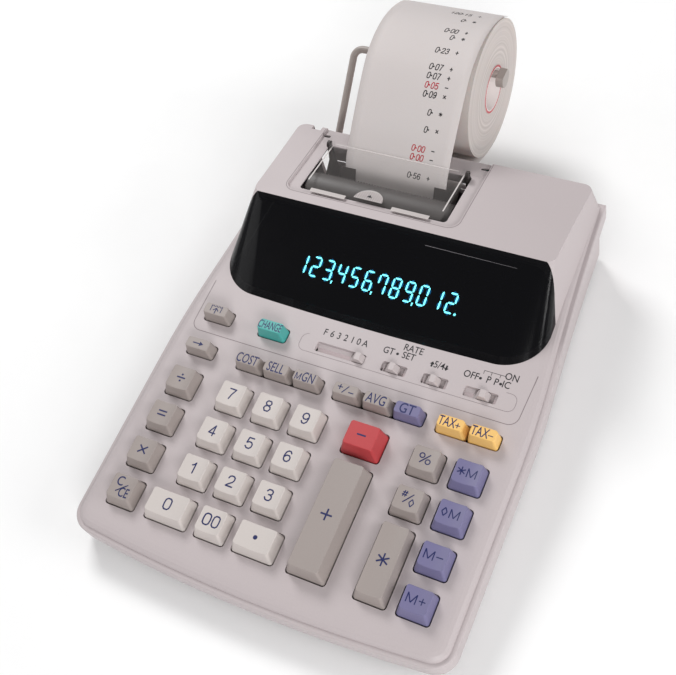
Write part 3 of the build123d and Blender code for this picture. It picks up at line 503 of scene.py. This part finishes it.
LOW, HIGH = 135.0, 139.2
LABELS = [("F", -18.1, LOW), ("6", -14.5, LOW), ("3", -10.9, LOW), ("2", -7.2, LOW), ("1", -3.6, LOW),
          ("0", -0.3, LOW), ("A", 3.2, LOW), ("GT", 15.7, LOW), ("SET", 26.0, LOW), ("RATE", 27.0, HIGH),
          ("5/4", 41.7, LOW), ("OFF", 57.6, LOW), ("P", 66.2, LOW), ("P", 69.9, LOW), ("IC", 74.7, LOW),
          ("ON", 75.9, HIGH + 0.2)]
for i, (text, x, y) in enumerate(LABELS):
    deck_print(f"deck_label_{i}", glyphs(text, 2.6, 0.84, 0.035), x, y)
for i, x in enumerate((20.3, 62.2, 72.0)):
    deck_print(f"deck_dot_{i}", disc(0, 0, 0.7), x, LOW)
for i, (x, way) in enumerate(((38.1, 1), (45.3, -1))):
    shaft = bars(((0, -1.4 * way), (0, 0.2 * way)), w=0.9)
    head = poly((-1.2 * way, 0.0), (1.2 * way, 0.0), (0, 1.5 * way))
    deck_print(f"deck_arrow_{i}", join(shaft, head), x, LOW)
deck_print("deck_bracket", bars(((62.6, 0), (72.8, 0)), *[((x, 0), (x, -1.7)) for x in (62.7, 66.4, 70.6)],
                                w=0.25), 0, HIGH + 0.2)

groove("deck_groove_shade", [(-86.6, 146.0)] + corner(-81.6, 121.8, 5, 180, 270) + corner(80.8, 121.8, 5, -90, 0)
       + [(86.4, 134.0), (86.9, 144.0)], 0.35, deck, SKIN)
groove("deck_outline", corner(-25.1, 128.7, 3.5, 100, 180) + corner(-25.1, 126.2, 3.5, 180, 270)
       + corner(78.5, 126.2, 3.5, -90, 0) + corner(78.5, 128.3, 3.5, 0, 90) + [(76.0, 131.8)],
       0.22, deck, SKIN)

# ---------------------------------------------------------------- case-coloured trays under the switch slots, glowing faintly as painted light against the slots' shade
SWITCH_Y = 126.9
SWITCH_SLOTS = ((-19.7, 6.5), (15.3, 27.9), (36.1, 48.7), (57.1, 73.2))
NEAR, FAR = 1.15, 3.4                   # half widths of the tray's channel and of the whole tray
LEDGE_Z, CHANNEL_Z = -3.6, -6.3
TRAY_STEPS = ((-FAR, -NEAR, LEDGE_Z), (-NEAR, NEAR, CHANNEL_Z), (NEAR, FAR, LEDGE_Z))
for i, (left, right) in enumerate(SWITCH_SLOTS):
    x0, x1 = left - 1, right + 1
    for j, (front, back, z) in enumerate(TRAY_STEPS):
        corners = ((x0, front), (x1, front), (x1, back), (x0, back))
        facet(f"switch_tray_{i}_{j}", [deck(x, SWITCH_Y + y, z) for x, y in corners], LINER_PAINTED_LIGHT, "case")
    for j, y in enumerate((-NEAR, NEAR)):
        corners = ((x0, CHANNEL_Z), (x1, CHANNEL_Z), (x1, LEDGE_Z), (x0, LEDGE_Z))
        facet(f"switch_tray_wall_{i}_{j}", [deck(x, SWITCH_Y + y, z) for x, z in corners],
              LINER_PAINTED_LIGHT, "case")

# ---------------------------------------------------------------- painted highlight: a bright line along the window's upper edge
CREST_Y, CREST_Z, WINDOW_FALL = 184.8, 21.3, 0.507
EDGE_CORNERS = ((18.0, 184.1), (64.0, 184.1), (64.0, 184.2), (18.0, 184.3))
facet("window_painted_highlight",
      [deck(x, y, CREST_Z - (CREST_Y - y) * WINDOW_FALL + 0.04) for x, y in EDGE_CORNERS],
      PAINTED_HIGHLIGHT, "case")

# ---------------------------------------------------------------- display figures
SHOWN = "123456789012"
SEGMENTS = {"0": "abcdef", "1": "bc", "2": "abged", "3": "abgcd", "4": "fgbc", "5": "afgcd",
            "6": "afgecd", "7": "fabc", "8": "abcdefg", "9": "gfabcd"}
DIGIT_W, DIGIT_H, DIGIT_STEP, DIGIT_START, DIGIT_FOOT, DIGIT_LEAN = 3.9, 9.6, 7.29, -46.2, -4.0, 0.10
SEGMENT_ENDS = {
    "a": ((0, DIGIT_H), (DIGIT_W, DIGIT_H)), "b": ((DIGIT_W, DIGIT_H), (DIGIT_W, DIGIT_H / 2)),
    "c": ((DIGIT_W, DIGIT_H / 2), (DIGIT_W, 0)), "d": ((0, 0), (DIGIT_W, 0)),
    "e": ((0, 0), (0, DIGIT_H / 2)), "f": ((0, DIGIT_H / 2), (0, DIGIT_H)),
    "g": ((0, DIGIT_H / 2), (DIGIT_W, DIGIT_H / 2)),
}
TUBE_Y, TUBE_Z, TUBE_TILT = 166.4, 2.5, math.radians(26.9)


def seven(char, w):
    """Seven-segment figure with strokes of the given width, from its lower left corner."""
    gap = w * 0.24
    shapes = []
    for segment in SEGMENTS[char]:
        (x0, y0), (x1, y1) = SEGMENT_ENDS[segment]
        d = Vector((x1 - x0, y1 - y0)).normalized()
        n = Vector((-d.y, d.x)) * w / 2
        a, b = Vector((x0, y0)) + d * gap, Vector((x1, y1)) - d * gap
        outline = [a, a + d * w / 2 - n, b - d * w / 2 - n, b, b - d * w / 2 + n, a + d * w / 2 + n]
        shapes.append(poly(*[(p.x, p.y) for p in outline]))
    return join(*shapes)


def on_display(shape, i, dx=0.0, foot=DIGIT_FOOT):
    """Artwork leaned over and moved to a digit's place."""
    return shifted(shape, DIGIT_START + DIGIT_STEP * i + dx, foot, DIGIT_LEAN)


def tube_piece(name, shapes, lift, mat):
    """Artwork on the display tube's face: across, up the face, and lift above the tube's axis."""
    c, s = math.cos(TUBE_TILT), math.sin(TUBE_TILT)
    points, outlines = join(*shapes)
    verts = [deck(u, TUBE_Y + v * c - lift * s, TUBE_Z + v * s + lift * c) for u, v in points]
    piece(name, verts, outlines, mat, "case")


COMMA = poly((0, 0.0), (0.9, 0.0), (0.6, -1.6), (0.1, -1.6))
PAINTED_HALO_LINE, FIGURE_GLOW_LINE = 2.3, 0.85
# Wide dim strokes under the figures: a painted glow round them.
painted_halo = [on_display(seven(char, PAINTED_HALO_LINE), i) for i, char in enumerate(SHOWN)]
figures = [on_display(seven(char, FIGURE_GLOW_LINE), i) for i, char in enumerate(SHOWN)]
figures += [on_display(COMMA, i, DIGIT_W + 1.1, -3.8) for i in (2, 5, 8)]
figures.append(on_display(disc(0, 0, 0.6), 11, DIGIT_W + 1.6))
tube_piece("display_painted_halo", painted_halo, 2.65, PAINTED_HALO)
tube_piece("display_figures", figures, 2.75, GLOW)

# ---------------------------------------------------------------- paper running from the printer to the roll
PATH = [
    (279.8, -27.3), (262.0, -18.8), (245.9, -11.6), (236.0, -13.6), (228.0, -17.6), (222.0, -17.2),
    (218.6, -12.2), (220.2, -5.0), (227.7, 8.0), (234.0, 15.0), (245.5, 24.8), (264.2, 38.6),
    (276.0, 44.6), (290.2, 46.4), (304.0, 43.6), (316.8, 37.1), (324.0, 30.9),
]
PAPER_LEFT, PAPER_RIGHT, PAPER_THICKNESS = -46.4, 10.4, 0.12


def smooth_path(points):
    """Catmull-Rom curve through the points."""
    steps = 10
    out = []
    for i in range(len(points) - 1):
        p0, p1 = points[max(i - 1, 0)], points[i]
        p2, p3 = points[i + 1], points[min(i + 2, len(points) - 1)]
        for k in range(steps):
            t = k / steps
            out.append(tuple(0.5 * (2 * b + (c - a) * t + (2 * a - 5 * b + 4 * c - d) * t * t
                                    + (3 * b - a - 3 * c + d) * t ** 3)
                             for a, b, c, d in zip(p0, p1, p2, p3)))
    return out + [points[-1]]


RUN = smooth_path(PATH)
LENGTHS = [0.0]
for a, b in zip(RUN, RUN[1:]):
    LENGTHS.append(LENGTHS[-1] + math.dist(a, b))
# How far along the paper it comes up out of the printer.
EXIT = next(length for length, (y, z) in zip(LENGTHS, RUN) if y > 228 and z > 8)


def on_paper(x, along, lift):
    """Point above the paper, x across and a length along it from its lower end."""
    i = min(bisect.bisect_right(LENGTHS, along) - 1, len(RUN) - 2)
    t = (along - LENGTHS[i]) / (LENGTHS[i + 1] - LENGTHS[i])
    (y0, z0), (y1, z1) = RUN[i], RUN[i + 1]
    d = Vector((y1 - y0, z1 - z0)).normalized()
    return deck(x, y0 + (y1 - y0) * t - d.y * lift, z0 + (z1 - z0) * t + d.x * lift)


def paper_strip():
    """The loose end of the paper, one thin sheet along its run."""
    columns = 13
    width = PAPER_RIGHT - PAPER_LEFT
    verts = [deck(PAPER_LEFT + width * j / (columns - 1), y, z) for y, z in RUN for j in range(columns)]
    faces = []
    for i in range(len(RUN) - 1):
        for j in range(columns - 1):
            k = i * columns + j
            faces.append((k, k + 1, k + columns + 1, k + columns))
    made = new_mesh("paper_strip", verts, faces, PAPER)
    made.data.polygons.foreach_set("use_smooth", [True] * len(faces))
    solid = made.modifiers.new("thickness", "SOLIDIFY")
    solid.thickness = PAPER_THICKNESS / 1000
    solid.offset = 0.0
    return made


strip = paper_strip()
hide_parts("paper_tape")
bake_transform(strip)

# Each printed line: its number, its sign, its place along the paper above the exit, its ink.
PRINTS = [
    ("0·56", "+", 1.0, BLACK), ("0·00", "-", 10.5, REDINK), ("0·00", "-", 15.0, REDINK),
    ("0·", "×", 25.0, BLACK), ("0·", "*", 33.6, BLACK), ("0·09", "×", 42.3, BLACK),
    ("0·05", "-", 46.8, REDINK), ("0·07", "+", 51.5, BLACK), ("0·07", "+", 56.1, BLACK),
    ("0·23", "+", 65.2, BLACK), ("0·", "*", 74.0, BLACK), ("0·00", "+", 78.6, BLACK),
    ("0·", "*", 89.4, BLACK), ("120·15", "+", 97.5, BLACK),
]
MARKS = {"+": cross(0.8, 1.0, 0.5), "-": dash(0.9, 0.5), "×": times(0.7, 0.8, 0.5), "*": star(0, 1.0, 0.46)}
MARK_X, NUMBER_RIGHT = 0.1, -4.2        # the sign's place, and where the number ends beside it
PRINT_LIFT = 0.09                       # above the middle of the paper's thickness
for i, (number, sign, along, ink) in enumerate(PRINTS):
    figures = stroked(number, height=2.9, width=1.5, step=2.1, w=0.46, lean=0.14)
    right = max(u for u, v in figures[0])
    rows = (("figures", shifted(figures, NUMBER_RIGHT - right, 0), ink), ("mark", MARKS[sign], BLACK))
    for kind, (points, outlines), mat in rows:
        verts = [on_paper(MARK_X + u, EXIT + along + v, PRINT_LIFT) for u, v in points]
        printed = new_mesh(f"paper_{kind}_{i}", verts, outlines, mat)
        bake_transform(printed)

# ---------------------------------------------------------------- red rings on the ends of the roll's core
rim, rim_faces = ring(0, 0, r=12.3, w=1.1, n=64)
for i, x in enumerate((10.82, -46.82)):
    piece(f"core_ring_{i}", [deck(x, ROLL_Y + u, ROLL_Z + v) for u, v in rim], rim_faces, CORE,
          "roll")

# ---------------------------------------------------------------- details on the housing and the clear cover
HOUSING_BACK, HOUSING_FRONT = (245.9, 10.2), (190.1, 23.2)


def cover_point(u, v, lift):
    """Point over the housing's top face: u from the printer's middle, v behind the face's back edge."""
    (back_y, back_z), (front_y, front_z) = HOUSING_BACK, HOUSING_FRONT
    fall = (front_z - back_z) / (back_y - front_y)
    c, s = 1 / math.hypot(1, fall), fall / math.hypot(1, fall)
    return deck(PRINTER_X + u, back_y + v * c + lift * s, back_z - v * s + lift * c)


def block(name, u0, u1, v0, v1, z0, z1, mat, body):
    """Box in the axes of the housing's top face."""
    corners = [(u0, v0), (u1, v0), (u1, v1), (u0, v1)]
    verts = [cover_point(u, v, z) for z in (z0, z1) for u, v in corners]
    faces = [(0, 3, 2, 1), (4, 5, 6, 7), (0, 1, 5, 4), (1, 2, 6, 5), (2, 3, 7, 6), (3, 0, 4, 7)]
    piece(name, verts, faces, mat, body)


# Painted shade along the edge of the recess round the printer.
groove("recess_edge_shade", [(-47.4, -0.6)] + corner(-41.4, -45.2, 6, 180, 270) + corner(41.4, -45.2, 6, -90, 0)
       + [(47.4, -0.6)], 0.3, cover_point, 0.04)
for i, (u0, u1) in enumerate(((-33.1, -13.6), (11.7, 31.7))):
    block(f"cover_tongue_{i}", u0, u1, -49.0, -46.3, 0.0, 0.12, FROST, "cover")
for i, u in enumerate((-37.15, 36.45)):
    block(f"cover_side_line_{i}", u, u + 0.7, -42.0, -14.0, 1.0, 1.06, EDGE, "cover")
TEAR_LINE = ((-52.6, 232.1, 17.25), (16.6, 232.1, 17.25), (16.6, 232.8, 16.78), (-52.6, 232.8, 16.78))
facet("cover_tear_line", [deck(*point) for point in TEAR_LINE], EDGE, "cover")
block("printer_rear_trim", -45.0, 45.0, -10.4, -0.8, -1.3, -0.3, CLEAR, "case")

GRIP_U, GRIP_V, GRIP_RADIUS, GRIP_FLATTEN, GRIP_TOP = -1.5, -46.6, 7.7, 0.95, 0.95
RIB_START, RIB_FOOT, RIB_RADIUS, RIB_STEP, RIB_WIDTH = -7.0, -46.3, 7.2, 1.17, 0.22
arc = [math.pi * i / 20 for i in range(21)]
facet("cover_grip", [cover_point(GRIP_U + GRIP_RADIUS * math.cos(a),
                                 GRIP_V + GRIP_RADIUS * GRIP_FLATTEN * math.sin(a), GRIP_TOP) for a in arc],
      FROST, "cover")
# Darker ribs on the grip: painted shade between them.
for i in range(13):
    u = RIB_START + i * RIB_STEP
    deep = RIB_RADIUS * GRIP_FLATTEN * math.sqrt(1 - (u / GRIP_RADIUS) ** 2) - 0.6
    block(f"cover_grip_rib_{i}", GRIP_U + u, GRIP_U + u + RIB_WIDTH, RIB_FOOT, RIB_FOOT + deep,
          GRIP_TOP, GRIP_TOP + 0.1, PAINTED_SHADE, "cover")
facet("cover_arrow", [cover_point(u, v, 1.1) for u, v in ((-2.9, -44.6), (-0.1, -44.6), (-1.5, -42.8))],
      BLACK, "cover")


# ---------------------------------------------------------------- teeth and tabs of the printer frame
def frame_block(name, x0, x1, profile):
    """Bar across the machine with the given profile in deck y and z."""
    n = len(profile)
    verts = [deck(x, y, z) for x in (x0, x1) for y, z in profile]
    faces = [tuple(range(n))[::-1], tuple(range(n, 2 * n))]
    faces += [(i, (i + 1) % n, n + (i + 1) % n, n + i) for i in range(n)]
    piece(name, verts, faces, DARK, "case")


TOOTH = [(213.0, 15.4), (214.0, 15.0), (214.3, 15.6), (213.2, 15.9)]
TOOTH_COUNT, TOOTH_START, TOOTH_WIDTH, TOOTH_STEP = 46, PRINTER_X - 35.8, 0.8, 1.56
GUIDE = [(222.6, 1.0), (223.3, 0.6), (227.4, 6.4), (226.7, 6.9)]
GUIDE_WIDTH = 9.5
for i in range(TOOTH_COUNT):
    x = TOOTH_START + i * TOOTH_STEP
    frame_block(f"printer_tooth_{i}", x, x + TOOTH_WIDTH, TOOTH)
for i, x in enumerate((-49.8, 4.0)):
    frame_block(f"printer_paper_guide_{i}", x, x + GUIDE_WIDTH, GUIDE)

# ---------------------------------------------------------------- floor, light and camera, in metres
REACH = 6.0                             # half the side of the floor
floor = new_mesh("floor", [(-REACH, -REACH, 0), (REACH, -REACH, 0), (REACH, REACH, 0), (-REACH, REACH, 0)],
                 [(0, 1, 2, 3)], FLOOR)


def lamp(name, place, size, power):
    """Area light aimed at the middle of the machine."""
    light = bpy.data.lights.new(name, "AREA")
    light.shape = "RECTANGLE"
    light.size, light.size_y = size
    light.energy = power
    made = bpy.data.objects.new(name, light)
    bpy.context.scene.collection.objects.link(made)
    made.location = place
    made.rotation_euler = (Vector((0, 0, 0.03)) - Vector(place)).to_track_quat("-Z", "Y").to_euler()
    return made


lights = [
    lamp("key_light", (-0.75, 0.65, 1.05), (0.5, 0.5), 11.5),
    lamp("fill_light", (0.75, -1.15, 0.75), (0.9, 0.5), 12.5),
    lamp("left_light", (-1.1, -0.5, 0.8), (0.7, 0.7), 1.5),
    lamp("right_light", (1.3, 0.1, 0.6), (0.7, 0.5), 6.5),
]

world = bpy.data.worlds.new("world")
bpy.context.scene.world = world
world.use_nodes = True
sky = world.node_tree.nodes["Background"]
sky.inputs["Color"].default_value = (1.0, 1.0, 1.0, 1.0)
sky.inputs["Strength"].default_value = 0.32

CAMERA_PLACE = deck(177.94, -63.94, 445.28)
AZIMUTH, ELEVATION, ROLL_ANGLE = (math.radians(angle) for angle in (43.63, 58.39, -22.67))


def camera_matrix():
    """Camera pose, worked out in the deck's axes and then turned into the row frame."""
    a, e, r = AZIMUTH, ELEVATION, ROLL_ANGLE
    back = Vector((math.sin(a) * math.cos(e), -math.cos(a) * math.cos(e), math.sin(e)))
    right = Vector((0, 0, 1)).cross(back).normalized()
    up = back.cross(right)
    right, up = right * math.cos(r) + up * math.sin(r), up * math.cos(r) - right * math.sin(r)
    turn = Matrix.Rotation(TILT, 3, "X")
    axes = Matrix((turn @ right, turn @ up, turn @ back)).transposed()
    return Matrix.Translation(CAMERA_PLACE) @ axes.to_4x4()


cam = bpy.data.cameras.new("camera")
cam.lens = 57.22
cam.sensor_width = 36.0
cam.sensor_fit = "HORIZONTAL"
cam.clip_start = 0.01
camera = bpy.data.objects.new("camera", cam)
bpy.context.scene.collection.objects.link(camera)
camera.matrix_world = camera_matrix()
bpy.context.scene.camera = camera
bpy.context.scene.view_settings.view_transform = "Standard"
